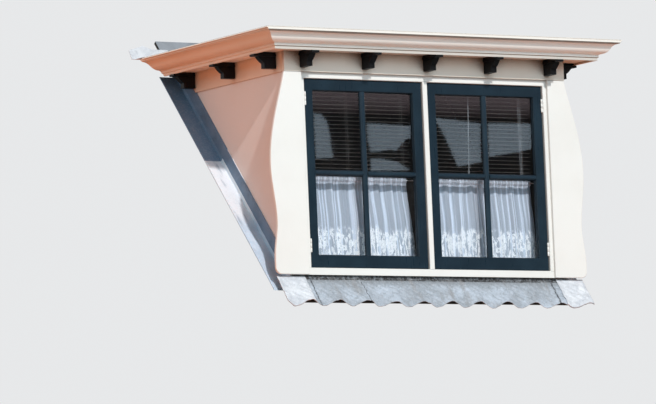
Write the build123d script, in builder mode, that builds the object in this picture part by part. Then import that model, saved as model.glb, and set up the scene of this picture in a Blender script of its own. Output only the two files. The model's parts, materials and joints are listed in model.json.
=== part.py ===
from build123d import *
import math
import os

# Flat-roofed dormer window for a steep tiled roof, in millimetres.
# X runs along the front, Y runs level into the roof and Z is up. The origin lies on
# the plane of the roof's battens, below the middle of the window frame's face.

# Roof slope, and the layers on it measured square to it
roof_pitch = 49.0
deck_board = 18.0
deck_front_lap = 15.0
tile_seat = 27.0
tile_crest = 82.0
tile_width = 204.0
tile_wave = 11.0
tile_hollow = -60.0
tile_rise = 135.0
eaves_cut = 120.0

# Window frame
sill_above_deck = 7.0
sill_face = 46.0
mullion_face = 40.0
jamb_width = 80.0
head_height = 76.0
frame_depth = 110.0
frame_stop = 12.0
frame_edge = 3.0

# Sashes and their glass
sash_width = 854.0
sash_height = 1156.0
sash_depth = 54.0
sash_set_back = 14.0
sash_clearance = 3.0
sash_edge = 3.0
stile_width = 64.0
top_rail_height = 68.0
bottom_rail_height = 76.0
glass_recess = 19.0
glass_thickness = 5.0
glass_lap = 10.0
glass_rebate = 12.0

# Walls and boards
cheek_thickness = 64.5
curb_set_back = 20.0
side_frieze_board = 10.0
front_frieze_board = 22.0
frieze_above_sash = 40.0
frieze_height = 124.0
soffit_board = 10.0

# Wing boards; the reaches are how far the curved edge stands out past the frieze
wing_board = 18.0
wing_reveal = 28.0
wing_edge = 3.0
wing_corner_radius = 40.0
shoulder_reach = 50.0
shoulder_drop = 184.0
bulge_reach = 118.5
bulge_rise = 626.0
waist_reach = 88.5
waist_rise = 286.0
flare_reach = 110.5
flare_rise = 90.0

# Flat roof
joist_height = 77.0
joist_width = 60.0
joist_end = 70.0
joist_count = 4
roof_board = 18.0
roof_sheet = 4.0
sheet_lip = 2.0

# Cornice, with its overhangs measured from the face of the frieze
cornice_inside = 142.0
fascia_overhang = 154.0
fascia_drip = 13.0
fillet_height = 15.0
bead_step = 7.0
bead_rise = 5.0
crown_step = 11.0
crown_overhang = 264.0
crown_lip = 5.0
crown_fillet = 16.0
crown_cap_rise = 4.0

# Brackets under the soffit
bracket_width = 40.0
bracket_height = 100.0
bracket_cap = 8.0
bracket_cap_lip = 8.0
bracket_foot = 83.0
bracket_foot_height = 32.0
bracket_bulge = 9.0
bracket_inset = 132.5
front_bracket_count = 5
side_bracket_start = 89.0
side_bracket_end = 111.0
side_bracket_count = 3

# Lead and zinc sheets
lead_sheet = 3.0
apron_side = 101.5
apron_length = 240.0
apron_trough = 40.0
apron_drop = 10.0
apron_camber = 1.0
corner_width = 200.0
corner_clearance = 0.3
flashing_height = 135.0
flashing_width = 120.0
welt_width = 10.0
welt_height = 6.0
back_lap = 120.0
back_rise = 200.0
saddle_out = 26.0
saddle_rise = 100.0
saddle_peak = 130.0
saddle_shoulder = 85.0
saddle_peak_in = 130.0
saddle_step_in = 190.0

# Blinds and curtains, hung against the room side of the frame
hanging_side_gap = 27.0
curtain_depth = 26.0
curtain_top = 554.0
curtain_hem = 22.0
rod_diameter = 12.0
blind_above_rod = 12.0
blind_depth = 25.0

# Worked out from the sizes above
slope_cos = math.cos(math.radians(roof_pitch))
slope_sin = math.sin(math.radians(roof_pitch))
slope_tan = slope_sin / slope_cos
frame_bottom = frame_depth * slope_tan + deck_board / slope_cos + sill_above_deck
sash_bottom = frame_bottom + sill_face
sash_top = sash_bottom + sash_height
sash_back = sash_set_back + sash_depth
sash_centre = (mullion_face + sash_width) / 2
sash_outer = mullion_face / 2 + sash_width
glass_face = sash_set_back + glass_recess
frame_half = sash_outer + jamb_width
frame_top = sash_top + head_height
cheek_half = frame_half + cheek_thickness
frieze_half = cheek_half + side_frieze_board
frieze_face = -front_frieze_board
frieze_bottom = sash_top + frieze_above_sash
soffit_level = frieze_bottom + frieze_height
soffit_top = soffit_level + soffit_board
joist_top = soffit_top + joist_height
board_top = joist_top + roof_board
sheet_top = board_top + roof_sheet

os.makedirs("parts", exist_ok=True)


def front_plane(depth):
    # Upright plane that faces the viewer, with X to the right and Z up
    return Plane((0, depth, 0), x_dir=(1, 0, 0), z_dir=(0, -1, 0))


def on_slope(along, height):
    # Y and Z of a point so far up the slope and so far square to it
    return (along * slope_cos - height * slope_sin, along * slope_sin + height * slope_cos)


def along_slope(depth, level):
    # How far up the slope a point with this Y and Z lies
    return depth * slope_cos + level * slope_sin


def slope_y(level, height):
    # Y where a level meets the plane that lies so high on the slope
    return (level - height / slope_cos) / slope_tan


def slope_z(depth, height):
    # Z where an upright plane meets the plane that lies so high on the slope
    return depth * slope_tan + height / slope_cos


def side_prism(start, width, points):
    # A closed outline in Y and Z, carried along X
    with BuildSketch(Plane.YZ.offset(start)) as outline:
        with BuildLine():
            Polyline(*points, close=True)
        make_face()
    extrude(outline.sketch, amount=width)


def level_board(half, front, bottom, top, height):
    # A level board whose back edge is cut to the slope
    side_prism(
        -half,
        2 * half,
        [
            (front, bottom),
            (slope_y(bottom, height), bottom),
            (slope_y(top, height), top),
            (front, top),
        ],
    )


def slope_strip(start, width, front, top_level, low, high):
    # A strip that follows the slope between two heights, up to a level
    side_prism(
        start,
        width,
        [
            (front, slope_z(front, low)),
            (slope_y(top_level, low), top_level),
            (slope_y(top_level, high), top_level),
            (front, slope_z(front, high)),
        ],
    )


def front_box(centre, width, bottom, top, face, depth, mode=Mode.ADD):
    # A rectangle on the front, sunk from its face into the roof
    with BuildSketch(front_plane(face)) as outline:
        with Locations((centre, (bottom + top) / 2)):
            Rectangle(width, top - bottom)
    extrude(outline.sketch, amount=-depth, mode=mode)


def save(piece, name):
    piece.label = name
    export_step(piece, "parts/" + name + ".step")


def save_pair(piece, name):
    # The piece is made for the right side and mirrored to the left
    save(piece, name + "_right")
    save(mirror(piece, about=Plane.YZ), name + "_left")


# Boarded deck that the dormer stands on
deck_end = along_slope(slope_y(sheet_top, deck_board), sheet_top) + back_rise
with BuildPart() as deck_panel:
    side_prism(
        -cheek_half,
        2 * cheek_half,
        [
            on_slope(-deck_front_lap, 0),
            on_slope(deck_end, 0),
            on_slope(deck_end, deck_board),
            on_slope(-deck_front_lap, deck_board),
        ],
    )
save(deck_panel.part, "deck_panel")

# Low wall between the deck and the window frame
with BuildPart() as front_curb:
    side_prism(
        -frame_half,
        2 * frame_half,
        [
            (curb_set_back, slope_z(curb_set_back, deck_board)),
            (slope_y(frame_bottom, deck_board), frame_bottom),
            (curb_set_back, frame_bottom),
        ],
    )
save(front_curb.part, "front_curb")

# Side walls, cut to the slope, with a notch for the apron
with BuildPart() as cheek:
    side_prism(
        frame_half,
        cheek_thickness,
        [
            (curb_set_back, slope_z(curb_set_back, deck_board)),
            (slope_y(soffit_level, deck_board), soffit_level),
            (0, soffit_level),
            (0, frame_bottom),
            (curb_set_back, frame_bottom),
        ],
    )
save_pair(cheek.part, "cheek")

# Sill and head, each with a stop that the sashes close against
with BuildPart() as frame_sill:
    side_prism(
        -frame_half,
        2 * frame_half,
        [
            (0, frame_bottom),
            (frame_depth, frame_bottom),
            (frame_depth, sash_bottom + frame_stop),
            (sash_back, sash_bottom + frame_stop),
            (sash_back, sash_bottom - sash_clearance),
            (frame_edge, sash_bottom - sash_clearance),
            (0, sash_bottom - sash_clearance - frame_edge),
        ],
    )
save(frame_sill.part, "frame_sill")

with BuildPart() as frame_head:
    side_prism(
        -frame_half,
        2 * frame_half,
        [
            (0, frame_top),
            (frame_depth, frame_top),
            (frame_depth, sash_top - frame_stop),
            (sash_back, sash_top - frame_stop),
            (sash_back, sash_top + sash_clearance),
            (frame_edge, sash_top + sash_clearance),
            (0, sash_top + sash_clearance + frame_edge),
        ],
    )
save(frame_head.part, "frame_head")

# Jambs and the mullion between the two sashes
upright_bottom = sash_bottom - sash_clearance
upright_top = sash_top + sash_clearance
stop_bottom = sash_bottom + frame_stop
stop_top = sash_top - frame_stop
jamb_inner = sash_outer + sash_clearance
stop_inner = sash_outer - frame_stop
with BuildPart() as jamb:
    front_box(
        (jamb_inner + frame_half) / 2, frame_half - jamb_inner, upright_bottom, upright_top, 0, sash_back
    )
    chamfer(jamb.edges().filter_by(Axis.Z).group_by(Axis.Y)[0].sort_by(Axis.X)[0], frame_edge)
    front_box(
        (stop_inner + frame_half) / 2,
        frame_half - stop_inner,
        stop_bottom,
        stop_top,
        sash_back,
        frame_depth - sash_back,
    )
save_pair(jamb.part, "frame_jamb")

with BuildPart() as frame_mullion:
    front_box(0, mullion_face - 2 * sash_clearance, upright_bottom, upright_top, 0, sash_back)
    chamfer(frame_mullion.edges().filter_by(Axis.Z).group_by(Axis.Y)[0], frame_edge)
    front_box(0, mullion_face + 2 * frame_stop, stop_bottom, stop_top, sash_back, frame_depth - sash_back)
save(frame_mullion.part, "frame_mullion")

# Side-hung sashes, each with a rebate for one sheet of glass
pane_width = sash_width - 2 * stile_width
pane_bottom = sash_bottom + bottom_rail_height
pane_top = sash_top - top_rail_height
with BuildPart() as sash:
    front_box(sash_centre, sash_width, sash_bottom, sash_top, sash_set_back, sash_depth)
    front_box(
        sash_centre, pane_width, pane_bottom, pane_top, sash_set_back, sash_depth, Mode.SUBTRACT
    )
    chamfer(sash.faces().sort_by(Axis.Y)[0].edges(), sash_edge)
    front_box(
        sash_centre,
        pane_width + 2 * glass_rebate,
        pane_bottom - glass_rebate,
        pane_top + glass_rebate,
        glass_face,
        sash_back - glass_face,
        Mode.SUBTRACT,
    )
save_pair(sash.part, "sash")

with BuildPart() as glass:
    front_box(
        sash_centre,
        pane_width + 2 * glass_lap,
        pane_bottom - glass_lap,
        pane_top + glass_lap,
        glass_face,
        glass_thickness,
    )
save_pair(glass.part, "glass")

# Beam over the window that carries the front of the flat roof
with BuildPart() as head_beam:
    front_box(0, 2 * frame_half, frame_top, soffit_level, 0, frame_depth)
save(head_beam.part, "head_beam")

# Frieze boards on three sides
with BuildPart() as frieze_front:
    front_box(0, 2 * frieze_half, frieze_bottom, soffit_level, frieze_face, front_frieze_board)
save(frieze_front.part, "frieze_front")

with BuildPart() as frieze_side:
    side_prism(
        cheek_half,
        side_frieze_board,
        [
            (0, frieze_bottom),
            (slope_y(frieze_bottom, flashing_height), frieze_bottom),
            (slope_y(soffit_level, flashing_height), soffit_level),
            (0, soffit_level),
        ],
    )
save_pair(frieze_side.part, "frieze")

# Wing boards with a serpentine outer edge and eased arrises
with BuildPart() as wing:
    with BuildSketch(front_plane(-wing_board)):
        with BuildLine():
            outer = Spline(
                (frieze_half, frieze_bottom),
                (frieze_half + shoulder_reach, frieze_bottom - shoulder_drop),
                (frieze_half + bulge_reach, frame_bottom + bulge_rise),
                (frieze_half + waist_reach, frame_bottom + waist_rise),
                (frieze_half + flare_reach, frame_bottom + flare_rise),
                tangents=((0.22, -1), (0, -1)),
            )
            foot = Line(outer @ 1, (frieze_half + flare_reach, frame_bottom + wing_corner_radius))
            corner = TangentArc(
                foot @ 1,
                (frieze_half + flare_reach - wing_corner_radius, frame_bottom),
                tangent=(0, -1),
            )
            Polyline(
                corner @ 1,
                (sash_outer + wing_reveal, frame_bottom),
                (sash_outer + wing_reveal, frieze_bottom),
                outer @ 0,
            )
        make_face()
    extrude(amount=-wing_board)
    chamfer(wing.faces().sort_by(Axis.Y)[0].edges(), wing_edge)
save_pair(wing.part, "wing_board")

# Scrolled brackets: a thin cap, a swelling curve and a square foot
cap_bottom = soffit_level - bracket_cap
curve_bottom = soffit_level - bracket_height + bracket_foot_height
curve_start = cornice_inside - bracket_cap_lip
with BuildPart() as bracket:
    with BuildSketch(Plane.YZ.offset(-bracket_width / 2)):
        with BuildLine():
            cap = Polyline(
                (-bracket_foot, soffit_level - bracket_height),
                (0, soffit_level - bracket_height),
                (0, soffit_level),
                (-cornice_inside, soffit_level),
                (-cornice_inside, cap_bottom),
                (-curve_start, cap_bottom),
            )
            swell = ThreePointArc(
                cap @ 1,
                (-(curve_start + bracket_foot) / 2 - bracket_bulge, (cap_bottom + curve_bottom) / 2),
                (-bracket_foot, curve_bottom),
            )
            Line(swell @ 1, cap @ 0)
        make_face()
    extrude(amount=bracket_width)

front_bracket_spacing = 2 * (frieze_half - bracket_inset) / (front_bracket_count - 1)
for index in range(front_bracket_count):
    across = index * front_bracket_spacing - (frieze_half - bracket_inset)
    with BuildPart() as front_bracket:
        with Locations((across, frieze_face, 0)):
            add(bracket.part)
    save(front_bracket.part, "bracket_front_" + str(index + 1))

side_bracket_last = slope_y(soffit_level, eaves_cut) - side_bracket_end
side_bracket_spacing = (side_bracket_last - side_bracket_start) / (side_bracket_count - 1)
for index in range(side_bracket_count):
    into = side_bracket_start + index * side_bracket_spacing
    with BuildPart() as side_bracket:
        with Locations(Location((frieze_half, into, 0), (0, 0, 90))):
            add(bracket.part)
    save(side_bracket.part, "bracket_right_" + str(index + 1))
    save(mirror(side_bracket.part, about=Plane.YZ), "bracket_left_" + str(index + 1))

# Soffit boards; the front board runs through at the corners
with BuildPart() as soffit_front:
    side_prism(
        -frieze_half - cornice_inside,
        2 * (frieze_half + cornice_inside),
        [
            (frieze_face - cornice_inside, soffit_level),
            (frieze_face, soffit_level),
            (frieze_face, soffit_top),
            (frieze_face - cornice_inside, soffit_top),
        ],
    )
save(soffit_front.part, "soffit_front")

with BuildPart() as soffit_side:
    side_prism(
        frieze_half,
        cornice_inside,
        [
            (frieze_face, soffit_level),
            (slope_y(soffit_level, eaves_cut), soffit_level),
            (slope_y(soffit_top, eaves_cut), soffit_top),
            (frieze_face, soffit_top),
        ],
    )
save_pair(soffit_side.part, "soffit")

# Moulded cornice: a fascia, a bead and a crown of two curves under a top fillet,
# mitred at the front corners and cut to the slope at its back ends
drip_level = soffit_level - fascia_drip
bead_overhang = fascia_overhang + bead_step
bead_level = drip_level + fillet_height + bead_rise
crown_start = bead_overhang + crown_step
crown_level = bead_level + fillet_height + bead_rise
cap_level = board_top - crown_fillet
crown_end = crown_overhang - crown_lip
crown_end_level = cap_level - crown_cap_rise
with BuildSketch() as cornice_profile:
    with BuildLine():
        lower = Polyline(
            (-cornice_inside, drip_level),
            (-fascia_overhang, drip_level),
            (-fascia_overhang, drip_level + fillet_height),
            (-bead_overhang, bead_level),
            (-bead_overhang, bead_level + fillet_height),
            (-crown_start, crown_level),
        )
        belly = TangentArc(
            lower @ 1,
            (-(crown_start + crown_end) / 2, (crown_level + crown_end_level) / 2),
            tangent=(-1, 0),
        )
        cove = TangentArc(belly @ 1, (-crown_end, crown_end_level), tangent=belly % 1)
        Polyline(
            cove @ 1,
            (-crown_end, cap_level),
            (-crown_overhang, cap_level),
            (-crown_overhang, board_top),
            (-cornice_inside, board_top),
            lower @ 0,
        )
    make_face()

corner_reach = frieze_half + crown_overhang
right_mitre = Plane((frieze_half, frieze_face, 0), z_dir=(1, 1, 0))
left_mitre = Plane((-frieze_half, frieze_face, 0), z_dir=(-1, 1, 0))
with BuildPart() as cornice_front:
    with BuildSketch(Plane.YZ.offset(-corner_reach)):
        with Locations((frieze_face, 0)):
            add(cornice_profile.sketch)
    extrude(amount=2 * corner_reach)
    split(bisect_by=right_mitre, keep=Keep.BOTTOM)
    split(bisect_by=left_mitre, keep=Keep.BOTTOM)
save(cornice_front.part, "cornice_front")

cornice_start = frieze_face - crown_overhang
cornice_length = slope_y(board_top, eaves_cut) - cornice_start
slope_plane = Plane((0, 0, 0), x_dir=(1, 0, 0), z_dir=(0, -slope_sin, slope_cos))
with BuildPart() as cornice_side:
    with BuildSketch(Plane((frieze_half, cornice_start, 0), x_dir=(-1, 0, 0), z_dir=(0, 1, 0))):
        add(cornice_profile.sketch)
    extrude(amount=cornice_length)
    split(bisect_by=right_mitre, keep=Keep.TOP)
    split(bisect_by=slope_plane.offset(eaves_cut), keep=Keep.TOP)
save_pair(cornice_side.part, "cornice")

# Joists, boards, ceiling and sheet of the flat roof
overhang_half = frieze_half + cornice_inside
joist_first = frieze_face - cornice_inside / 2
joist_spacing = (slope_y(soffit_top, eaves_cut) - joist_end - joist_first) / (joist_count - 1)
with BuildPart() as roof_joists:
    for index in range(joist_count):
        middle = joist_first + index * joist_spacing
        side_prism(
            -overhang_half,
            2 * overhang_half,
            [
                (middle - joist_width / 2, soffit_top),
                (middle + joist_width / 2, soffit_top),
                (middle + joist_width / 2, joist_top),
                (middle - joist_width / 2, joist_top),
            ],
        )
save(roof_joists.part, "roof_joists")

with BuildPart() as roof_boards:
    level_board(overhang_half, frieze_face - cornice_inside, joist_top, board_top, eaves_cut)
    level_board(cheek_half, 0, joist_top, board_top, deck_board)
save(roof_boards.part, "roof_boards")

sheet_half = corner_reach + sheet_lip
with BuildPart() as roof_covering:
    level_board(sheet_half, cornice_start - sheet_lip, board_top, sheet_top, eaves_cut)
    level_board(cheek_half, 0, board_top, sheet_top, deck_board)
save(roof_covering.part, "roof_covering")

with BuildPart() as ceiling:
    level_board(frieze_half, frieze_face, soffit_level, soffit_top, flashing_height)
    level_board(cheek_half, 0, soffit_level, soffit_top, deck_board)
save(ceiling.part, "ceiling")

# Lead apron below the window: almost flat along the top, dressed down over the tiles'
# waves at the bottom, with a lower edge that dips into each hollow
apron_bend = slope_z(curb_set_back, tile_crest)
apron_start = along_slope(curb_set_back, apron_bend)
apron_end = apron_start - apron_length
apron_half = cheek_half + apron_side
first_wave = math.floor((-apron_half - tile_hollow) / tile_width)
last_wave = math.ceil((apron_half - tile_hollow) / tile_width)


def cross_plane(along):
    # Plane square to the slope's fall, with X to the right and the height upwards
    point = on_slope(along, 0)
    return Plane((0, point[0], point[1]), x_dir=(1, 0, 0), z_dir=(0, -slope_cos, -slope_sin))


def wave_line(hollow, crest):
    # Tangent arcs that rise slowly from each hollow of the tiles to the crest and fall fast
    marks = []
    for wave in range(first_wave, last_wave):
        start = tile_hollow + wave * tile_width
        marks += [(start, hollow), (start + tile_rise, crest)]
    marks.append((tile_hollow + last_wave * tile_width, hollow))
    arcs = []
    for start, end in zip(marks, marks[1:]):
        middle = ((start[0] + end[0]) / 2, (start[1] + end[1]) / 2)
        arcs.append(TangentArc(start, middle, tangent=(1, 0)))
        arcs.append(TangentArc(middle, end, tangent=arcs[-1] % 1))
    return arcs


def dressed_sheet(left, right, lift):
    # Lead between a nearly straight top and a waved bottom, cut along the tiles' fall
    top = tile_crest + lift
    sections = []
    for along, crest, wave in ((apron_start, top, apron_camber), (apron_end, top - apron_drop, tile_wave)):
        with BuildSketch(cross_plane(along)) as section:
            with BuildLine():
                below = wave_line(crest - wave, crest)
                above = wave_line(crest - wave + lead_sheet, crest + lead_sheet)
                Line(below[0] @ 0, above[0] @ 0)
                Line(below[-1] @ 1, above[-1] @ 1)
            make_face()
        sections.append(section.sketch)
    loft(sections, ruled=True)
    with BuildSketch(slope_plane) as cut:
        with BuildLine():
            edge = wave_line(apron_end, apron_end + apron_trough)
            Polyline(
                edge[-1] @ 1,
                ((edge[-1] @ 1).X, apron_start + lead_sheet),
                ((edge[0] @ 0).X, apron_start + lead_sheet),
                edge[0] @ 0,
            )
        make_face()
    extrude(cut.sketch, amount=2 * tile_crest, mode=Mode.INTERSECT)
    front_box(
        (left + right) / 2,
        right - left,
        -apron_length,
        frame_bottom,
        curb_set_back - lift - apron_length,
        apron_length,
        Mode.INTERSECT,
    )


with BuildPart() as lead_apron:
    dressed_sheet(-apron_half, apron_half, 0)
    front_box(
        0, 2 * cheek_half, apron_bend - lead_sheet, frame_bottom, curb_set_back - lead_sheet, lead_sheet
    )
save(lead_apron.part, "lead_apron")

# Corner patches of newer lead over the ends of the apron
corner_lift = lead_sheet + corner_clearance
with BuildPart() as apron_corner_left:
    dressed_sheet(-apron_half, -apron_half + corner_width, corner_lift)
save(apron_corner_left.part, "apron_corner_left")

with BuildPart() as apron_corner_right:
    dressed_sheet(apron_half - corner_width, apron_half, corner_lift)
save(apron_corner_right.part, "apron_corner_right")

# Side flashings with an upstand on the cheek and a welt at the outer edge
flashing_outer = cheek_half + flashing_width
with BuildPart() as flashing:
    slope_strip(cheek_half, lead_sheet, curb_set_back, soffit_level, tile_seat, flashing_height)
    slope_strip(
        cheek_half, flashing_width, curb_set_back, soffit_level, tile_seat, tile_seat + lead_sheet
    )
    slope_strip(
        flashing_outer - welt_width,
        welt_width,
        curb_set_back,
        soffit_level,
        tile_seat,
        tile_seat + welt_height,
    )
save_pair(flashing.part, "flashing")

# Back flashing from the flat roof up onto the deck
sheet_end = slope_y(sheet_top, deck_board)
with BuildPart() as flashing_back:
    side_prism(
        -cheek_half,
        2 * cheek_half,
        [
            (sheet_end - back_lap, sheet_top),
            (sheet_end, sheet_top),
            on_slope(deck_end, deck_board),
            on_slope(deck_end, deck_board + lead_sheet),
            (slope_y(sheet_top + lead_sheet, deck_board + lead_sheet), sheet_top + lead_sheet),
            (sheet_end - back_lap, sheet_top + lead_sheet),
        ],
    )
save(flashing_back.part, "flashing_back")

# Lead saddles at the back corners: a flat leg on the roof sheet and a shaped patch on the tiles
saddle_bend = slope_y(sheet_top, tile_crest)
saddle_foot = along_slope(saddle_bend, sheet_top)
saddle_outer = sheet_half + saddle_out
with BuildPart() as saddle:
    side_prism(
        cheek_half,
        sheet_half - cheek_half,
        [
            (saddle_bend - back_lap, sheet_top),
            (saddle_bend, sheet_top),
            (slope_y(sheet_top + lead_sheet, tile_crest + lead_sheet), sheet_top + lead_sheet),
            (saddle_bend - back_lap, sheet_top + lead_sheet),
        ],
    )
    with BuildSketch(slope_plane.offset(tile_crest)):
        with BuildLine():
            Polyline(
                (cheek_half, saddle_foot),
                (saddle_outer, saddle_foot),
                (saddle_outer - saddle_out / 2, saddle_foot + saddle_shoulder),
                (saddle_outer - saddle_peak_in, saddle_foot + saddle_peak),
                (saddle_outer - saddle_step_in, saddle_foot + saddle_rise),
                (cheek_half, saddle_foot + saddle_rise),
                close=True,
            )
        make_face()
    extrude(amount=lead_sheet)
save_pair(saddle.part, "saddle")

# Curtain rods, curtains and blinds on the room side of the frame
hanging_width = sash_width - 2 * hanging_side_gap
rod_level = sash_bottom + curtain_top + rod_diameter / 2
with BuildPart() as rod:
    with BuildSketch(Plane.YZ.offset(mullion_face / 2)):
        with Locations((frame_depth + rod_diameter / 2, rod_level)):
            Circle(rod_diameter / 2)
    extrude(amount=sash_width)
save_pair(rod.part, "curtain_rod")

with BuildPart() as curtain:
    front_box(
        sash_centre,
        hanging_width,
        sash_bottom + curtain_hem,
        sash_bottom + curtain_top,
        frame_depth,
        curtain_depth,
    )
save_pair(curtain.part, "curtain")

blind_bottom = rod_level + rod_diameter / 2 + blind_above_rod
with BuildPart() as blind:
    front_box(sash_centre, hanging_width, blind_bottom, frame_top, frame_depth, blind_depth)
save_pair(blind.part, "blind")
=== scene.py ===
import json
import math

import bmesh
import bpy
import numpy as np
from mathutils import Euler, Matrix, Vector


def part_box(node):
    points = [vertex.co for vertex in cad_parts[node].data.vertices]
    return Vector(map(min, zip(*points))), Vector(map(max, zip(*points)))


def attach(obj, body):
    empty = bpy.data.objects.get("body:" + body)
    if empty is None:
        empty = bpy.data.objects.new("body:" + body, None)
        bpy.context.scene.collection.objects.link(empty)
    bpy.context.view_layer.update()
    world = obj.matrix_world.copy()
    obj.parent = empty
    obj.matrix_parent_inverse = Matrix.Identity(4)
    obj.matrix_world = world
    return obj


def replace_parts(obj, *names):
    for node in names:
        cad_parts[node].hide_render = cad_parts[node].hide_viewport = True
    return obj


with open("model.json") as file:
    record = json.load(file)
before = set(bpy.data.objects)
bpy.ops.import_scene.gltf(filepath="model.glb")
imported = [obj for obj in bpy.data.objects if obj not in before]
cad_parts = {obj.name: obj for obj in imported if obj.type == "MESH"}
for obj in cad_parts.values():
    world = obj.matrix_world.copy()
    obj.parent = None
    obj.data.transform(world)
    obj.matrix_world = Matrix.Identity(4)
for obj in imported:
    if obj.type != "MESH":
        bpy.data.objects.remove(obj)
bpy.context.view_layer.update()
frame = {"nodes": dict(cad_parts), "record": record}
nodes = frame["nodes"]
scene = bpy.context.scene
print("frame loaded,", len(nodes), "nodes")

# the roof's slope, and what the pieces of the window share, in metres
roof = {
    "pitch": math.radians(49.0),
    "tileWidth": 0.204,  # from one hollow of the tiles to the next
    "tileHollow": -0.060,  # X of one of the hollows
    "tileRise": 0.135,  # from a hollow to the crest on its right
}
slopeUp = np.array([0.0, math.cos(roof["pitch"]), math.sin(roof["pitch"])])
slopeOut = np.array([0.0, -math.sin(roof["pitch"]), math.cos(roof["pitch"])])

window = {
    "stile": 0.064,
    "topRail": 0.068,
    "bottomRail": 0.076,
    "barWidth": 0.034,
    "crossBarBottom": 0.7755,
    "crossBarTop": 0.8035,
    "barSetBack": 0.0015,  # the bars lie a little behind the sash's face
    "barEdge": 0.0085,  # the slope on both sides of a bar
}
sashLow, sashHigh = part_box("sash_right")
glassLow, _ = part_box("glass_right")
paneLeft = sashLow.x + window["stile"]
paneRight = sashHigh.x - window["stile"]
paneBottom = sashLow.z + window["bottomRail"]
paneTop = sashHigh.z - window["topRail"]
paneMiddle = (sashLow.x + sashHigh.x) / 2
sashFace = sashLow.y
glassFace = glassLow.y
bothSides = (("right", False), ("left", True))  # shapes are made for the right and mirrored to the left


# meshes: every shape is a pair of points (N x 3) and faces, and shapes are joined into pieces
def gridFaces(rows, columns, wrapRows=False, wrapColumns=False):
    # quads between neighbours of a grid of points; a wrapped side joins its end to its start
    row = np.arange(rows if wrapRows else rows - 1)
    column = np.arange(columns if wrapColumns else columns - 1)
    row, column = (a.ravel() for a in np.meshgrid(row, column, indexing="ij"))
    nextRow, nextColumn = (row + 1) % rows, (column + 1) % columns
    quads = [row * columns + column, row * columns + nextColumn,
             nextRow * columns + nextColumn, nextRow * columns + column]
    return np.stack(quads, axis=1).tolist()


def joinShapes(shapes):
    points, faces, start = [], [], 0
    for shapePoints, shapeFaces in shapes:
        points.append(np.asarray(shapePoints, float))
        faces += [[start + corner for corner in face] for face in shapeFaces]
        start += len(shapePoints)
    return np.concatenate(points), faces


def carryProfile(profile, path, across, rise, ring=False):
    # each path point carries the closed profile: point + across * profile x + rise * profile y
    profile, path = np.asarray(profile, float), np.asarray(path, float)
    across, rise = (np.asarray(a, float).reshape(-1, 1, 3) for a in (across, rise))
    points = path[:, None, :] + across * profile[None, :, :1] + rise * profile[None, :, 1:]
    count = len(profile)
    faces = gridFaces(len(path), count, wrapRows=ring, wrapColumns=True)
    if not ring:
        last = (len(path) - 1) * count
        faces += [list(range(count)), list(range(last, last + count))]
    return points.reshape(-1, 3), faces


def latheShape(radii, levels, centre, steps=16):
    # a round upright form: each level has its radius, and both ends close in a point
    turn = np.linspace(0, 2 * math.pi, steps, endpoint=False)
    radii, levels = np.asarray(radii, float), np.asarray(levels, float)
    x = centre[0] + radii[:, None] * np.cos(turn)
    y = centre[1] + radii[:, None] * np.sin(turn)
    z = np.broadcast_to(centre[2] + levels[:, None], x.shape)
    points = np.stack([x, y, z], axis=2).reshape(-1, 3)
    faces = gridFaces(len(levels), steps, wrapColumns=True)
    last = (len(levels) - 1) * steps
    faces += [list(range(steps)), list(range(last, last + steps))]
    return points, faces


def mirrorShape(shape):
    return np.asarray(shape[0]) * [-1.0, 1.0, 1.0], [face[::-1] for face in shape[1]]


def newPiece(name, points, faces, finish):
    mesh = bpy.data.meshes.new(name)
    mesh.from_pydata(np.asarray(points).tolist(), [], faces)
    mesh.materials.append(finish)
    piece = bpy.data.objects.new(name, mesh)
    scene.collection.objects.link(piece)
    return piece


def putPiece(name, shape, slotName, finish=None, smooth=False, closed=True, mirrored=False):
    # a piece shows its slot's finish, unless it is given its own
    piece = newPiece(name, *(mirrorShape(shape) if mirrored else shape), finish or finishes[slotName])
    mesh = piece.data
    if closed:
        outwards(mesh)
    mesh.polygons.foreach_set("use_smooth", [smooth] * len(mesh.polygons))
    mesh.update()
    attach(piece, "root")
    return piece


def outwards(mesh):
    shell = bmesh.new()
    shell.from_mesh(mesh)
    bmesh.ops.recalc_face_normals(shell, faces=shell.faces)
    shell.to_mesh(mesh)
    shell.free()


def chamferedProfile(width, depth, edge):
    # a flat bar seen along its length, with eased corners on its front
    half = width / 2
    return [(-half, 0), (half, 0), (half, depth - edge), (half - edge, depth),
            (-half + edge, depth), (-half, depth - edge)]


# finishes: nodes are added by kind to the tree at hand, with linked or plain inputs
atHand = {}


def newFinish(name):
    finish = bpy.data.materials.new(name)
    finish.use_nodes = True
    atHand["tree"] = finish.node_tree
    return finish, finish.node_tree.nodes["Principled BSDF"]


def isLinked(value):
    return isinstance(value, bpy.types.NodeSocket)


def setInputs(node, inputs):
    for key, value in inputs.items():
        if isLinked(value):
            atHand["tree"].links.new(value, node.inputs[key])
        else:
            node.inputs[key].default_value = value
    return node


def addNode(kind, inputs=None, **settings):
    node = atHand["tree"].nodes.new("ShaderNode" + kind)
    for key, value in settings.items():
        setattr(node, key, value)
    return setInputs(node, inputs or {})


def mathNode(operation, first, second=0.0, clamp=False):
    return addNode("Math", {0: first, 1: second}, operation=operation, use_clamp=clamp).outputs[0]


def times(first, *others):
    for other in others:
        first = mathNode("MULTIPLY", first, other)
    return first


def plus(first, second):
    return mathNode("ADD", first, second)


def minus(first, second):
    return mathNode("SUBTRACT", first, second)


def axesOf(place):
    return list(addNode("SeparateXYZ", {0: place}).outputs)


def mapped(place, scale=(1, 1, 1), turn=(0, 0, 0)):
    return addNode("Mapping", {"Vector": place, "Scale": scale, "Rotation": turn}).outputs[0]


def placeOf():
    # Object coordinates, in metres
    return addNode("TexCoord").outputs["Object"]


def onSlope():
    # Object coordinates turned so that Y runs up the roof's slope and Z out of it
    return mapped(placeOf(), turn=(-roof["pitch"], 0, 0))


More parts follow.
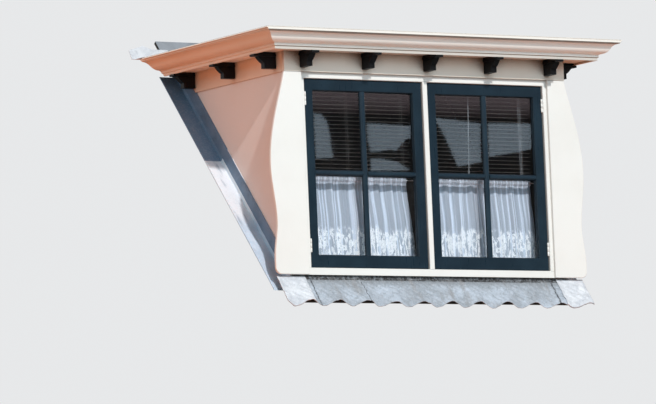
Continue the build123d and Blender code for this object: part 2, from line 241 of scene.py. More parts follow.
def noiseOf(place, scale, detail=4.0, rough=0.55, twist=0.0):
    inputs = {"Vector": place, "Scale": scale, "Detail": detail, "Roughness": rough, "Distortion": twist}
    return addNode("TexNoise", inputs).outputs["Fac"]


def rampOf(value, low, high):
    # 0 below low, 1 above high, smooth between
    inputs = {"Value": value, "From Min": low, "From Max": high}
    return addNode("MapRange", inputs, interpolation_type="SMOOTHSTEP").outputs[0]


def mixColour(amount, first, second):
    first, second = (value if isLinked(value) else (*value, 1.0) for value in (first, second))
    return addNode("Mix", {0: amount, 6: first, 7: second}, data_type="RGBA").outputs[2]


def layTone(colour, value, low, high, tone, share=1.0):
    # the tone lies over the colour where the value goes from low to high, as densely as its share says
    return mixColour(times(rampOf(value, low, high), share), colour, tone)


def layTones(colour, value, tones):
    for tone in tones:
        colour = layTone(colour, value, *tone)
    return colour


def useBump(shader, height, strength, distance):
    bump = addNode("Bump", {"Height": height, "Strength": strength, "Distance": distance})
    setInputs(shader, {"Normal": bump.outputs[0]})


def useSurface(shader, colour, look, value):
    # colour and gloss on the shader, with the roughness between its two ends as the value goes from 0 to 1
    rough = addNode("MapRange", {"Value": value, "To Min": look["rough"][0], "To Max": look["rough"][1]})
    setInputs(shader, {"Base Color": colour, "Roughness": rough.outputs[0], "Metallic": look["metal"],
                       "Specular IOR Level": look["gloss"]})


paintLook = {
    "cloud": 2.0,  # the finer the clouds of the tone, the higher
    "specks": 0.12,
    "speckScale": 160.0,
    "crevice": 0.0,  # how much painted shade, with some dirt, darkens the corners, and how far it reaches
    "creviceReach": 0.03,
    "grain": (9.0, 60.0, 90.0),  # brush marks to the metre
    "bump": 0.06,
    "metal": 0.0,
    "gloss": 0.5,
    "rough": (0.3, 0.48),
}


def paintFinish(name, base, worn, dirt, **changes):
    # gloss or matt paint on wood: cloudy tone, fine brush marks along the grain, specks, and painted shade with some
    # dust in corners
    look = {**paintLook, **changes}
    finish, shader = newFinish(name)
    place = placeOf()
    x, _, z = axesOf(place)
    colour = layTone(base, noiseOf(place, look["cloud"], 5.0), 0.35, 0.7, worn)
    specks = noiseOf(place, look["speckScale"], 3.0)
    colour = layTone(colour, specks, 0.66, 0.74, dirt, look["specks"])
    for low, high, soft, tone in look.get("bands", ()):  # members of a moulding painted darker or lighter by level: painted shade under the lip, in the groove and on the fascia
        within = times(rampOf(z, low - soft, low), rampOf(z, high + soft, high))
        colour = mixColour(within, colour, tone)
    if "inside" in look:  # painted shade: within this distance of the middle, faces towards the dark room are painted near black
        near = mathNode("LESS_THAN", mathNode("ABSOLUTE", x), look["inside"])
        colour = mixColour(near, colour, look["insideTone"])
    # painted shade: occlusion darkens corners and recesses towards the dirt and shade tone
    crevice = addNode("AmbientOcclusion", {"Distance": look["creviceReach"]}, samples=6)
    colour = layTone(colour, crevice.outputs["AO"], 0.75, 0.35, dirt, look["crevice"])
    brush = noiseOf(mapped(place, look["grain"]), 1.0, 3.0)
    useSurface(shader, colour, look, brush)
    useBump(shader, brush, look["bump"], 0.002)
    return finish


sheetLook = {
    "cloud": 6.0,
    "streak": (30.0, 5.0, 5.0),
    "stainAmount": 0.6,
    "fine": 0.5,  # how much the fine grain shows
    "raggedLap": 0.02,  # how uneven the edges of tones are, in metres
    "raggedSill": 0.016,
    "raggedSeam": 0.012,
    "bump": 0.5,
    "metal": 0.1,
    "gloss": 0.5,
    "rough": (0.5, 0.7),
}


def sheetFinish(name, base, bloom, stain, fineTone, **changes):
    # weathered metal sheet: large clouds, pale bloom, darker stains and shallow dents
    look = {**sheetLook, **changes}
    finish, shader = newFinish(name)
    place = placeOf()
    x, y, z = axesOf(place)
    clouds = noiseOf(place, look["cloud"], 6.0, 0.6, 0.6)
    colour = layTone(base, clouds, 0.36, 0.66, bloom)

    def ragged(value, reach):
        return plus(value, times(clouds, reach))

    if "stretches" in look:  # a sheet laid in lengths, each in its own tone up to its lap: partly patina, partly painted sunlight and painted shade
        colour = layTones(colour, ragged(axesOf(onSlope())[1], look["raggedLap"]), look["stretches"])
    if "underSill" in look:  # painted shade with some dirt where the sheet goes under the sill, near black in the gap
        colour = layTones(colour, ragged(z, look["raggedSill"]), look["underSill"])
    streaks = noiseOf(mapped(place, look["streak"]), 1.0, 5.0, 0.6)
    colour = layTone(colour, streaks, 0.52, 0.72, stain, look["stainAmount"])
    for middle, lean, half in look.get("seams", ()):  # painted shade with some dirt along laps and patch edges, each at X = middle + lean * Z
        away = minus(minus(x, middle), times(z, lean))
        away = mathNode("ABSOLUTE", ragged(away, look["raggedSeam"]))
        colour = layTone(colour, away, half, half * 0.4, look["seamTone"])
    if "laps" in look:  # felt laid in widths along X: a dark edge and a raised step at every lap, a painted fold
        inWidth = mathNode("FRACT", mathNode("DIVIDE", ragged(y, look["raggedSeam"]), look["laps"]))
        colour = layTone(colour, inWidth, 0.020, 0.008, stain, 0.8)
        colour = layTone(colour, inWidth, 0.88, 0.90, fineTone, 0.18)
        clouds = plus(clouds, rampOf(inWidth, 0.002, 0.012))
        colour = mixColour(mathNode("LESS_THAN", y, look["foldBefore"]), colour, look["foldTone"])
    if "mottle" in look:
        mottle = noiseOf(place, 34.0, 6.0, 0.75, 0.4)
        colour = layTone(colour, mottle, 0.48, 0.66, look["mottleTone"], look["mottle"])
    fine = noiseOf(place, 90.0, 5.0, 0.7)
    colour = layTone(colour, fine, 0.45, 0.75, fineTone, look["fine"])
    useSurface(shader, colour, look, clouds)
    useBump(shader, plus(clouds, fine), look["bump"], 0.004)
    return finish


def boardFinish(name, joint, sooty=None):
    # sawn boards: grain along X, and a dark joint at every board's edge up the slope
    finish, shader = newFinish(name)
    turned = onSlope()
    _, along, outOf = axesOf(turned)
    inBoard = mathNode("FRACT", mathNode("DIVIDE", along, boards["width"]))
    fromEdge = mathNode("ABSOLUTE", minus(inBoard, 0.5))
    atEdge = rampOf(fromEdge, 0.485, 0.495)
    grain = noiseOf(mapped(turned, boards["grain"]), 1.0, 6.0, 0.6, 1.2)
    colour = layTone(boards["tone"], grain, 0.3, 0.7, boards["grainTone"])
    colour = mixColour(atEdge, colour, joint)
    if sooty is not None:  # painted shade: the face towards the room, this far out of the slope's plane, is painted black, as the room behind is dark
        colour = mixColour(mathNode("GREATER_THAN", outOf, sooty), colour, joint)
    setInputs(shader, {"Base Color": colour, "Roughness": 0.8})
    useBump(shader, minus(grain, atEdge), 0.5, 0.002)
    return finish


def glassFinish(name, tone):
    # clear pane: shadow rays and soft bounces pass straight through
    finish, shader = newFinish(name)
    setInputs(shader, {"Base Color": (*tone, 1), "Roughness": 0.015, "IOR": 1.5, "Transmission Weight": 1.0})
    ray = addNode("LightPath")
    clear = addNode("BsdfTransparent", {"Color": (*tone, 1)})
    passes = mathNode("MAXIMUM", ray.outputs["Is Shadow Ray"], ray.outputs["Is Diffuse Ray"])
    mix = addNode("MixShader", {0: passes, 1: shader.outputs[0], 2: clear.outputs[0]})
    setInputs(finish.node_tree.nodes["Material Output"], {0: mix.outputs[0]})
    return finish


def laceFinish(name, look):
    # gathered net in soft upright stripes, with a denser border of leaves and flowers and small holes near the hem
    finish, shader = newFinish(name)
    cloth = addNode("UVMap", uv_map="cloth").outputs[0]
    up = axesOf(cloth)[1]

    def clothPlace(width, length):
        return mapped(cloth, (1 / width, 1 / length, 1))

    def clothNoise(width, length, detail=2.0, twist=0.0):
        return noiseOf(clothPlace(width, length), 1.0, detail, 0.5, twist)

    def cells(size, uneven):
        place = clothPlace(size, size)
        return place, addNode("TexVoronoi", {"Vector": place, "Scale": 1.0, "Randomness": uneven}).outputs

    # flowers: cells with six petals, radius below size + lobe * cos(6 * angle), and an open eye
    place, cell = cells(look["flower"], 0.55)
    arm = addNode("VectorMath", {0: place, 1: cell["Position"]}, operation="SUBTRACT")
    armX, armY, _ = axesOf(arm.outputs[0])
    lobe = mathNode("COSINE", times(mathNode("ARCTAN2", armY, armX), 6.0))
    radius = minus(cell["Distance"], times(lobe, 0.06))
    petals = times(rampOf(radius, 0.33, 0.27), rampOf(radius, 0.06, 0.12))
    # leaves: tall soft patches, cut by fine ribs
    leaves = rampOf(clothNoise(0.024, 0.095, 3.0, 1.0), 0.47, 0.51)
    leaves = times(leaves, rampOf(clothNoise(0.007, 0.012, 1.0, 0.5), 0.34, 0.44))
    edge = plus(up, times(clothNoise(0.045, 0.3), 0.16))
    border = rampOf(edge, look["borderTop"] + 0.04, look["borderTop"])
    dense = times(mathNode("MAXIMUM", petals, leaves), border)
    # holes: round cells in a narrow band over the hem, where a soft patch lets them
    low, high = look["holeBand"]
    holes = rampOf(cells(look["hole"], 0.6)[1]["Distance"], 0.30, 0.18)
    band = times(rampOf(up, low, low + 0.006), rampOf(up, high, high - 0.006))
    patchy = rampOf(clothNoise(0.045, 0.045), 0.46, 0.54)
    holes = times(holes, band, patchy, 0.8)
    stripes = rampOf(clothNoise(0.030, 1.8, 3.0), 0.48, 0.62)
    threads = mathNode("SINE", times(up, 2 * math.pi / look["thread"]))
    thick = plus(times(stripes, look["stripe"]), look["cover"])
    for layer, amount in ((threads, 0.018), (border, 0.02), (dense, 0.42)):
        thick = plus(thick, times(layer, amount))
    setInputs(shader, {"Base Color": mixColour(dense, look["base"], look["flowerTone"]), "Roughness": 0.9,
                       "Sheen Weight": 0.15, "Alpha": mathNode("SUBTRACT", thick, holes, clamp=True)})
    useBump(shader, plus(times(threads, 0.1), dense), 0.4, 0.001)
    return finish


# a paint has its fresh tone, its worn tone and its tone for dirt and painted shade; a sheet its tone, bloom, stain and
# fine grain
boards = {"width": 0.145, "grain": (2.0, 60.0, 60.0), "tone": (0.040, 0.027, 0.018),
          "grainTone": (0.065, 0.044, 0.029)}
darkGloss = {"cloud": 5.0, "gloss": 0.25, "specks": 0.08, "grain": (120.0, 120.0, 12.0), "bump": 0.10,
             "rough": (0.22, 0.38)}
zincLook = {"rough": (0.42, 0.62), "bump": 0.35}
finishes = {
    "frame_paint": paintFinish(
        "framePaint", (0.845, 0.835, 0.795), (0.815, 0.80, 0.755), (0.42, 0.38, 0.33), cloud=2.5, specks=0.10,
        crevice=0.55, grain=(90.0, 90.0, 9.0), rough=(0.28, 0.42)),
    "cornice_paint": paintFinish(
        "cornicePaint", (0.88, 0.815, 0.73), (0.85, 0.775, 0.685), (0.24, 0.16, 0.11), crevice=0.45,
        creviceReach=0.022),
    "cheek_paint": paintFinish(
        "cheekPaint", (0.795, 0.78, 0.755), (0.755, 0.73, 0.70), (0.42, 0.33, 0.29), cloud=1.6, specks=0.08,
        crevice=0.5, grain=(60.0, 7.0, 40.0), bump=0.05, rough=(0.4, 0.55),
        inside=1.0, insideTone=(0.03, 0.025, 0.02)),
    "dark_sash_paint": paintFinish(
        "darkSashPaint", (0.0085, 0.020, 0.031), (0.0125, 0.028, 0.042), (0.07, 0.08, 0.09), **darkGloss),
    "black_paint": paintFinish(
        "blackPaint", (0.0022, 0.0022, 0.003), (0.0045, 0.005, 0.0065), (0.03, 0.03, 0.032), cloud=9.0, gloss=0.20,
        specks=0.15, grain=(70.0, 70.0, 25.0), bump=0.12, rough=(0.35, 0.55)),
    "rod_paint": paintFinish(
        "rodPaint", (0.80, 0.80, 0.80), (0.74, 0.74, 0.74), (0.4, 0.4, 0.4), cloud=12.0, specks=0.05,
        grain=(10.0, 120.0, 120.0), bump=0.03, rough=(0.25, 0.35)),
    "blind_paint": paintFinish(
        "blindPaint", (0.26, 0.24, 0.225), (0.20, 0.18, 0.165), (0.08, 0.07, 0.06), cloud=8.0, specks=0.10,
        grain=(8.0, 150.0, 150.0), bump=0.03, rough=(0.35, 0.5)),
    "zinc_flashing": sheetFinish(
        "zincFlashing", (0.54, 0.66, 0.79), (0.64, 0.75, 0.87), (0.25, 0.31, 0.39), (0.58, 0.63, 0.68), fine=0.35,
        # patina and painted light: a pale length painting sunlight, and a dark blue length at the top painting the
        # return's shade
        stretches=((0.62, 0.78, (0.88, 0.90, 0.94), 0.88), (1.225, 1.231, (0.12, 0.215, 0.335), 0.93)), **zincLook),
    "lead": sheetFinish(
        "leadSheet", (0.33, 0.36, 0.40), (0.47, 0.52, 0.59), (0.26, 0.25, 0.25), (0.58, 0.62, 0.66), cloud=7.0,
        streak=(16.0, 5.0, 5.0), stainAmount=0.7, bump=0.55, mottle=0.8, mottleTone=(0.25, 0.275, 0.30),
        # dark lines at the laps and patch edges: painted shade with some dirt
        seams=((-0.5172, -0.10, 0.0040), (-0.8835, 0.0, 0.0065), (0.8790, 0.0, 0.0085)),
        seamTone=(0.045, 0.05, 0.06),
        # painted shade with some dirt under the sill
        underSill=((0.092, 0.140, (0.20, 0.21, 0.225), 0.82), (0.1345, 0.140, (0.012, 0.010, 0.009), 0.97))),
    "new_lead": sheetFinish(
        "newLead", (0.56, 0.575, 0.615), (0.71, 0.72, 0.75), (0.36, 0.38, 0.42), (0.82, 0.85, 0.88), cloud=11.0,
        streak=(24.0, 9.0, 9.0), stainAmount=0.5, fine=0.4, rough=(0.45, 0.62)),
    "roof_felt": sheetFinish(
        "roofFelt", (0.20, 0.21, 0.22), (0.28, 0.285, 0.29), (0.12, 0.12, 0.115), (0.33, 0.33, 0.33), cloud=3.0,
        streak=(3.0, 8.0, 3.0), metal=0.0, rough=(0.8, 0.95), laps=0.46,
        foldBefore=-0.281, foldTone=(0.78, 0.73, 0.66)),
    "bare_wood": boardFinish("bareWood", (0.010, 0.007, 0.005)),
    "window_glass": glassFinish("windowGlass", (0.955, 0.965, 0.975)),
    "lace": laceFinish("laceCloth", {
        # the base is tinted blue: painted sky light on the white cloth
        "base": (0.72, 0.80, 0.92), "flowerTone": (0.94, 0.96, 0.99), "flower": 0.058, "borderTop": 0.295,
        "hole": 0.013, "holeBand": (0.012, 0.052), "thread": 0.0072, "cover": 0.57, "stripe": 0.38}),
}

# nodes and pieces that share a slot with others but are finished differently; some are lighter or darker copies of one
# paint or sheet, painting light and shade
# a darker copy of the zinc, which also paints the shade line under the cheek
darkZinc = sheetFinish(
    "darkZinc", (0.112, 0.190, 0.285), (0.165, 0.255, 0.365), (0.06, 0.09, 0.125), (0.24, 0.31, 0.39), fine=0.3,
    **zincLook)
greyPlastic = paintFinish(
    "greyPlastic", (0.33, 0.34, 0.35), (0.27, 0.28, 0.29), (0.15, 0.15, 0.15), cloud=12.0, specks=0.05,
    grain=(120.0, 120.0, 10.0), bump=0.03, rough=(0.2, 0.3))
# painted light and shade: the bars a lighter and the beads a darker copy of the sash paint
barPaint = paintFinish(
    "glazingBarPaint", (0.0125, 0.027, 0.041), (0.018, 0.037, 0.054), (0.09, 0.10, 0.11),
    **{**darkGloss, "specks": 0.10})
beadPaint = paintFinish(
    "beadPaint", (0.0055, 0.0125, 0.0195), (0.008, 0.018, 0.027), (0.05, 0.055, 0.06),
    **{**darkGloss, "gloss": 0.2, "rough": (0.25, 0.4)})
# painted shade and painted warm light off the roof: a darker, orange copy of the cornice paint for the side returns
# and friezes
sideTrim = paintFinish(
    "sideTrimPaint", (0.79, 0.65, 0.515), (0.75, 0.605, 0.465), (0.22, 0.12, 0.07), crevice=0.6,
    creviceReach=0.05, grain=(60.0, 9.0, 90.0))
ownFinish = {
    "deck_panel": boardFinish("deckWood", (0.006, 0.004, 0.003), sooty=0.010),
    "flashing_back": sheetFinish(
        "backLead", (0.20, 0.215, 0.235), (0.29, 0.31, 0.34), (0.14, 0.14, 0.145), (0.38, 0.40, 0.43), cloud=5.0,
        streak=(5.0, 14.0, 5.0), stainAmount=0.5, fine=0.22, bump=0.4),
    # painted light and shade: a lighter copy of the cornice paint for the sunlit front, with painted shade by level on
    # the fascia, in the groove above it and under the top lip, and a darker top fillet
    "cornice_front": paintFinish(
        "frontCornicePaint", (0.955, 0.915, 0.85), (0.93, 0.885, 0.81), (0.24, 0.17, 0.12), crevice=0.45,
        creviceReach=0.022,
        bands=((1.500, 1.5275, 0.001, (0.60, 0.555, 0.50)), (1.529, 1.5345, 0.001, (0.36, 0.30, 0.25)),
               (1.6095, 1.6165, 0.002, (0.30, 0.25, 0.21)), (1.6205, 1.650, 0.0005, (0.88, 0.815, 0.74)))),
    # painted shade: a darker, warmer copy of the paint with strong corner shade, for the front frieze under the
    # cornice
    "frieze_front": paintFinish(
        "frontFriezePaint", (0.85, 0.775, 0.68), (0.80, 0.72, 0.62), (0.14, 0.065, 0.03), crevice=0.95,
        creviceReach=0.135),
    **dict.fromkeys(("frieze_left", "frieze_right", "cornice_left", "cornice_right"), sideTrim),
}
for part in frame["record"]["subparts"]:
    shown = nodes[part["node"]].data.materials
    shown.clear()
    shown.append(ownFinish.get(part["node"], finishes[part["material_slot"]]))
print("finishes ready")


# glazing bars in front of the glass, with sloped beads around every pane
barHalf = window["barWidth"] / 2
barDepth = glassFace - (sashFace + window["barSetBack"])
paneColumns = ((paneLeft, paneMiddle - barHalf), (paneMiddle + barHalf, paneRight))
paneRows = ((paneBottom, window["crossBarBottom"]), (window["crossBarTop"], paneTop))


def windowBars():
    # a full upright and two cross bars that butt against it, standing out from the glass
    out = [0, -1, 0]
    level = (window["crossBarTop"] + window["crossBarBottom"]) / 2
    upright = chamferedProfile(window["barWidth"], barDepth, window["barEdge"])
    cross = chamferedProfile(window["crossBarTop"] - window["crossBarBottom"], barDepth, window["barEdge"])
    ends = [(paneMiddle, glassFace, paneBottom), (paneMiddle, glassFace, paneTop)]
    shapes = [carryProfile(upright, ends, [1, 0, 0], out)]
    for left, right in paneColumns:
        shapes.append(carryProfile(cross, [(left, glassFace, level), (right, glassFace, level)], [0, 0, 1], out))
    return joinShapes(shapes)


bead = {"across": 0.0045, "tall": 0.008, "foot": 0.0015}


def paneFrames(profile):
    # a mitred frame inside each of the four panes, lying on the front of the glass
    inwards = [(1, 0, 1), (-1, 0, 1), (-1, 0, -1), (1, 0, -1)]
    shapes = []
    for left, right in paneColumns:
        for low, high in paneRows:
            path = [(x, glassFace, z) for x, z in ((left, low), (right, low), (right, high), (left, high))]
            shapes.append(carryProfile(profile, path, inwards, [0, -1, 0], ring=True))
    return joinShapes(shapes)


beadProfile = [(0, 0), (bead["across"], 0), (bead["across"], bead["foot"]), (0, bead["tall"])]
for side, mirrored in bothSides:
    putPiece("glazing_bars_" + side, windowBars(), "dark_sash_paint", barPaint, mirrored=mirrored)
    putPiece("glazing_beads_" + side, paneFrames(beadProfile), "dark_sash_paint", beadPaint, mirrored=mirrored)
print("bars and beads ready")


# a thin plate on top of every bracket, a little larger than the bracket under it
corniceLow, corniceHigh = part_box("cornice_right")
cap = {"tall": 0.0135, "beside": 0.0065, "before": 0.017, "edge": 0.002, "clear": 0.0006}
wallOf = {"front": (0, -1, 0), "left": (-1, 0, 0), "right": (1, 0, 0)}


def bracketCap(low, high, facing):
    # a chamfered bar across the bracket; facing is the unit vector from the wall to the bracket's front
    across = np.array([abs(facing[1]), abs(facing[0]), 0.0])
    middle = (np.array(low) + np.array(high)) / 2
    reach = np.abs(np.array(high) - np.array(low)) / 2
    half = reach @ across + cap["beside"]
    depth = 2 * (reach @ np.abs(facing)) + cap["before"] - cap["clear"]
    back = middle - facing * (reach @ np.abs(facing) - cap["clear"])
    back[2] = corniceLow.z - cap["clear"] - cap["tall"] / 2  # the cornice rests on it
    return carryProfile(chamferedProfile(cap["tall"], depth, cap["edge"]),
                        [back - across * half, back + across * half], [0, 0, 1], facing)


capShapes = [bracketCap(*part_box(node), np.array(wallOf[node.split("_")[1]], float))
             for node in nodes if node.startswith("bracket_")]
putPiece("bracket_caps", joinShapes(capShapes), "black_paint")
print("bracket caps ready")


# painted hinges in the corner between each outer stile and its jamb
hinge = {
    "radius": 0.0063,
    "length": 0.086,
    "groove": 0.0011,
    "levels": (0.297, 1.199),
    "beside": 0.0026,  # how far the barrel stands past the sash's edge
    "tip": ((0.0, 0.35), (0.002, 0.8), (0.004, 1.0)),  # places from an end, and shares of the radius there
}


def hingeBarrel(level):
    # three knuckles with narrow grooves between them and a domed tip at each end
    radius, length, groove = hinge["radius"], hinge["length"], hinge["groove"]
    tip, share = np.array(hinge["tip"]).T
    joint = groove * np.array([-1, -0.5, 0.5, 1])
    levels = np.concatenate([tip, length / 3 + joint, 2 * length / 3 + joint, length - tip[::-1]])
    grooved = [radius, radius - groove, radius - groove, radius]
    radii = np.concatenate([radius * share, grooved, grooved, radius * share[::-1]])
    return latheShape(radii, levels, (sashHigh.x - radius + hinge["beside"], sashFace - radius, level), 20)


hinges = joinShapes([hingeBarrel(level) for level in hinge["levels"]])
for side, mirrored in bothSides:
    putPiece("hinges_" + side, hinges, "frame_paint", smooth=True, mirrored=mirrored)
print("hinges ready")


# blinds: curved slats on ladder cords between a head rail and a foot rail
blindLow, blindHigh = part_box("blind_right")
blind = {
    "sideGap": 0.004,
    "slatWidth": 0.0235,
    "slatCrown": 0.0015,
    "slatThick": 0.0005,
    "pitch": 0.0245,
    "tilt": math.radians(2.0),  # the outer edge is a little higher
    "headRail": (0.034, 0.024),  # height and depth
    "footRail": (0.010, 0.020),
    "railEdge": 0.002,
    "railGap": 0.012,  # from a rail to the next slat
    "footClear": 0.002,
    "ladderInset": (0.067, 0.333, 0.733),
    "cordRadius": 0.0007,
    "uneven": (math.radians(0.7), 0.0004, 0.0005),  # spread of a slat's turn, level and lean
}


def roundSection(radius, steps=6):
    turn = np.linspace(0, 2 * math.pi, steps, endpoint=False)
    return radius * np.stack([np.cos(turn), np.sin(turn)], axis=1)


def blindParts(seed):
    rng = np.random.default_rng(seed)
    left, right = blindLow.x + blind["sideGap"], blindHigh.x - blind["sideGap"]
    middleY = (blindLow.y + blindHigh.y) / 2
    headHeight, headDepth = blind["headRail"]
    footHeight, footDepth = blind["footRail"]
    bottom = blindLow.z + footHeight + blind["railGap"]
    top = blindHigh.z - headHeight - blind["railGap"]
    turnSpread, levelSpread, leanSpread = blind["uneven"]
    count = int((top - bottom) / blind["pitch"])
    # a slat's section is an arch: crown * (1 - w * w) over the width, with its underside just below
    w = np.linspace(-1, 1, 7)
    arch = np.stack([w * blind["slatWidth"] / 2, blind["slatCrown"] * (1 - w * w)], axis=1)
    under = arch[::-1] - [0, blind["slatThick"]]
    section = np.concatenate([arch, under])
    slats = []
    for index in range(count):
        turn = blind["tilt"] + rng.normal(0, turnSpread)
        level = bottom + index * blind["pitch"] + rng.normal(0, levelSpread)
        lean = rng.normal(0, leanSpread)
        across = [0, math.cos(turn), -math.sin(turn)]
        rise = [0, math.sin(turn), math.cos(turn)]
        path = [(left, middleY, level - lean), (right, middleY, level + lean)]
        slats.append(carryProfile(section, path, across, rise))
    rails = []
    for low, height, depth in ((blindHigh.z - headHeight, headHeight, headDepth),
                               (blindLow.z + blind["footClear"], footHeight, footDepth)):
        section = chamferedProfile(depth, height, blind["railEdge"])
        rails.append(carryProfile(section, [(left, middleY, low), (right, middleY, low)], [0, 1, 0], [0, 0, 1]))
    cordSection = roundSection(blind["cordRadius"])
    cordFoot, cordTop = blindLow.z + 2 * blind["footClear"], blindHigh.z - headHeight
    cords = []
    for inset in blind["ladderInset"]:
        for side in (-1, 1):
            y = middleY + side * (blind["slatWidth"] / 2 - blind["cordRadius"])
            path = [(right - inset, y, cordFoot), (right - inset, y, cordTop)]
            cords.append(carryProfile(cordSection, path, [1, 0, 0], [0, 1, 0]))
    return joinShapes(slats), joinShapes(rails), joinShapes(cords)


for side, mirrored, seed in (("right", False, 3), ("left", True, 4)):
    slats, rails, cords = blindParts(seed)
    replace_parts(putPiece("blind_slats_" + side, slats, "blind_paint", mirrored=mirrored), "blind_" + side)
    putPiece("blind_rails_" + side, rails, "blind_paint", mirrored=mirrored)
    putPiece("blind_cords_" + side, cords, "blind_paint", mirrored=mirrored)

# a turning wand and a bead chain in front of the right blind
wand = {
    "foot": 0.364,  # X at the foot and at the top
    "head": 0.384,
    "y": 0.102,
    "radius": 0.0022,
    "bottom": 0.826,
    "top": 1.404,
    "knob": ((0.001, 0.0), (0.0042, 0.003), (0.0042, 0.025), (0.001, 0.028)),  # radii and levels
    "knobDrop": 0.02,
}
chain = {"x": 0.756, "y": 0.103, "bead": 0.0022, "pitch": 0.0062, "bottom": 0.815, "top": 1.404, "gap": 0.012}
wandPath = [(wand["foot"], wand["y"], wand["bottom"]), (wand["head"], wand["y"], wand["top"])]
wandShape = carryProfile(roundSection(wand["radius"]), wandPath, [1, 0, 0], [0, 1, 0])
knob = latheShape(*np.array(wand["knob"]).T, (wand["foot"], wand["y"], wand["bottom"] - wand["knobDrop"]), 10)
putPiece("blind_wand", joinShapes([wandShape, knob]), "rod_paint", greyPlastic)


def beadChain():
    # round beads on two falls that meet in a loop at the foot
    arc = np.linspace(-math.pi / 2, math.pi / 2, 6)
    radii = np.maximum(chain["bead"] * np.cos(arc), chain["bead"] * 0.1)
    levels = chain["bead"] * np.sin(arc)
    straight = np.arange(chain["bottom"] + chain["gap"] / 2, chain["top"], chain["pitch"])
    turn = np.linspace(math.pi, 2 * math.pi, 5)[1:-1]
    half = chain["gap"] / 2
    places = [(chain["x"] - half, z) for z in straight] + [(chain["x"] + half, z) for z in straight]
    places += [(chain["x"] + half * math.cos(a), chain["bottom"] + half * (1 + math.sin(a))) for a in turn]
    return joinShapes([latheShape(radii, levels, (x, chain["y"], z), 8) for x, z in places])


putPiece("blind_chain", beadChain(), "rod_paint", greyPlastic, smooth=True)
print("blinds ready")


# lace curtains: a cloth surface over (across, up), pleated in Y and gathered at the rod
curtainLow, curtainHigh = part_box("curtain_right")
rodLow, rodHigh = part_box("curtain_rod_right")
curtain = {
    "flat": (1.03, 0.575),  # the cut's width and length
    "across": 300,
    "up": 110,
    "fold": 0.0125,  # how far a fold leaves the middle plane
    "gather": 0.0024,  # the small gathers at the rod
    "gathers": (41, 7),  # how many there are, and how often they crowd together
    "nearRod": 0.11,  # the height under the rod over which the folds flatten
    "flatten": 0.78,
    "header": 0.785,  # level of the ruffle's edge over the rod
    "setBack": 0.0115,  # the cloth under the rod draws back into the room
    "drawBack": (0.50, 0.68),  # the levels between which it does
    "pocket": (0.020, 0.008),  # the levels under the rod between which it comes to the rod's front
    "pocketGap": 0.0042,
    "sway": 0.0035,
    "ruffle": 0.0015,
    "hem": 0.0012,
}
thinRod = {"radius": 0.003, "y": 0.1335, "level": 0.7675, "tip": 0.0055}


def rodShape(settings):
    # a thin round rod with a small ball on each end, made upright and laid along X
    tip = settings["tip"]
    turn = np.linspace(0.15, 0.85, 6) * math.pi
    places = np.append(tip * (1 - np.cos(turn)), 2.4 * tip)
    radii = np.append(tip * np.sin(turn), settings["radius"])
    along = np.concatenate([rodLow.x + places, rodHigh.x - places[::-1]])
    radii = np.concatenate([radii, radii[::-1]])
    points, faces = latheShape(radii, along, (settings["y"], settings["level"], 0), 12)
    return points[:, [2, 0, 1]], faces


for side, mirrored in bothSides:
    rail = putPiece("curtain_rail_" + side, rodShape(thinRod), "rod_paint", smooth=True, mirrored=mirrored)
    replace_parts(rail, "curtain_rod_" + side)


def easeUp(value, low, high):
    # 0 up to low and 1 from high, along a smooth step
    share = np.clip((value - low) / (high - low), 0, 1)
    return share * share * (3 - 2 * share)


def curtainCloth(name, seed, flip, folds, inset):
    # y = middle + fold * sum of sines along the width, each drifting as it falls; small gathers near the rod
    rng = np.random.default_rng(seed)
    u, t = np.meshgrid(np.linspace(0, 1, curtain["across"]), np.linspace(0, 1, curtain["up"]))
    z = curtainLow.z + (curtain["header"] - curtainLow.z) * t
    pleat = np.zeros_like(u)
    for count, size in folds:
        phase, drift = rng.uniform(0, 2 * math.pi), rng.uniform(-0.35, 0.35)
        pleat += size * np.sin(2 * math.pi * count * u + phase + drift * (1 - t) * 3.0)
    pleat /= np.abs(pleat).max()
    pleat = np.sign(pleat) * np.abs(pleat) ** 0.8
    gathers, crowds = curtain["gathers"]
    small = np.sin(2 * math.pi * gathers * u + 1.3 * np.sin(2 * math.pi * crowds * u))
    nearRod = np.clip((z - (rodLow.z - curtain["nearRod"])) / curtain["nearRod"], 0, 1) ** 2
    # towards the rod the cloth draws back, and its pocket passes close in front of the rod
    middleY = (curtainLow.y + curtainHigh.y) / 2 + curtain["setBack"] * easeUp(z, *curtain["drawBack"])
    inPocket = easeUp(z, *(thinRod["level"] - below for below in curtain["pocket"]))
    y = middleY + curtain["fold"] * pleat * (1 - curtain["flatten"] * nearRod)
    pocketY = thinRod["y"] - thinRod["radius"] - curtain["pocketGap"]
    y = y + (pocketY - y) * inPocket + curtain["gather"] * small * nearRod
    left = curtainLow.x + inset[0] + (inset[1] - inset[0]) * t
    right = curtainHigh.x + inset[2] + (inset[3] - inset[2]) * t
    x = left + (right - left) * u + curtain["sway"] * np.sin(2 * math.pi * 2 * u + 2.0 * t)
    x = np.clip(x, curtainLow.x + min(inset[:2]), curtainHigh.x + max(inset[2:]))
    z = z + curtain["ruffle"] * np.sin(2 * math.pi * 9 * u) * t ** 8 + curtain["hem"] * (pleat - 1) * (1 - t) ** 6
    if flip:
        x = -x
    points = np.stack([x, y, z], axis=2).reshape(-1, 3)
    shape = points, gridFaces(curtain["up"], curtain["across"])
    piece = putPiece(name, shape, "lace", smooth=True, closed=False)
    layer = piece.data.uv_layers.new(name="cloth")
    corners = np.zeros(len(piece.data.loops), int)
    piece.data.loops.foreach_get("vertex_index", corners)
    flatPlace = np.stack([u * curtain["flat"][0], t * curtain["flat"][1]], axis=2).reshape(-1, 2)
    layer.data.foreach_set("uv", flatPlace[corners].ravel())
    return piece


